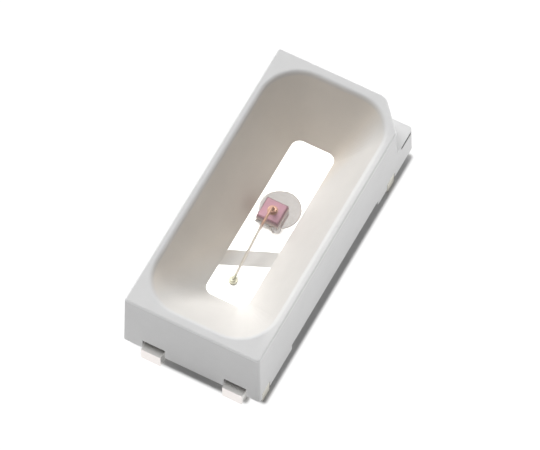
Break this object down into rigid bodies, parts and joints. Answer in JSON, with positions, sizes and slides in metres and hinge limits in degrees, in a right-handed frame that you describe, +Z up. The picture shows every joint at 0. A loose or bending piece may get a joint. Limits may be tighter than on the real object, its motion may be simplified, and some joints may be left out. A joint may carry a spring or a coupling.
{
  "type": "surface-mount light-emitting diode",
  "caption": "Small rectangular white surface-mount LED: reflector cup with a clear filling, a wired chip inside, a cut polarity corner and solder pads underneath.",
  "frame": {"origin": "middle of the outline on the solder plane", "axes": "+X along the package towards the end with the cut polarity corner, +Z up, out of the cup; the cut corner is at +X and -Y"},
  "size_m": [0.0032, 0.0014, 0.0008],
  "materials": {
    "housing_plastic": "white filled nylon, smooth moulded",
    "lead_plating": "bright silver plating on copper, bare at the cut ends",
    "silver_adhesive": "silver-filled epoxy, cured satin grey",
    "gold": "plain gold",
    "chip_body": "dark sawn semiconductor",
    "chip_top": "pink light-emitting layer with a fine frosted surface",
    "clear_resin": "clear cast resin, smooth"
  },
  "bodies": {
    "root": {"housing": "housing_plastic", "large_lead": "lead_plating", "small_lead": "lead_plating", "chip_adhesive": "silver_adhesive", "chip_back_contact": "gold", "chip_substrate": "chip_body", "chip_light_layer": "chip_top", "chip_electrode": "gold", "bond_wire": "gold", "stitch_bump": "gold", "clear_filling": "clear_resin"}
  },
  "joints": []
}
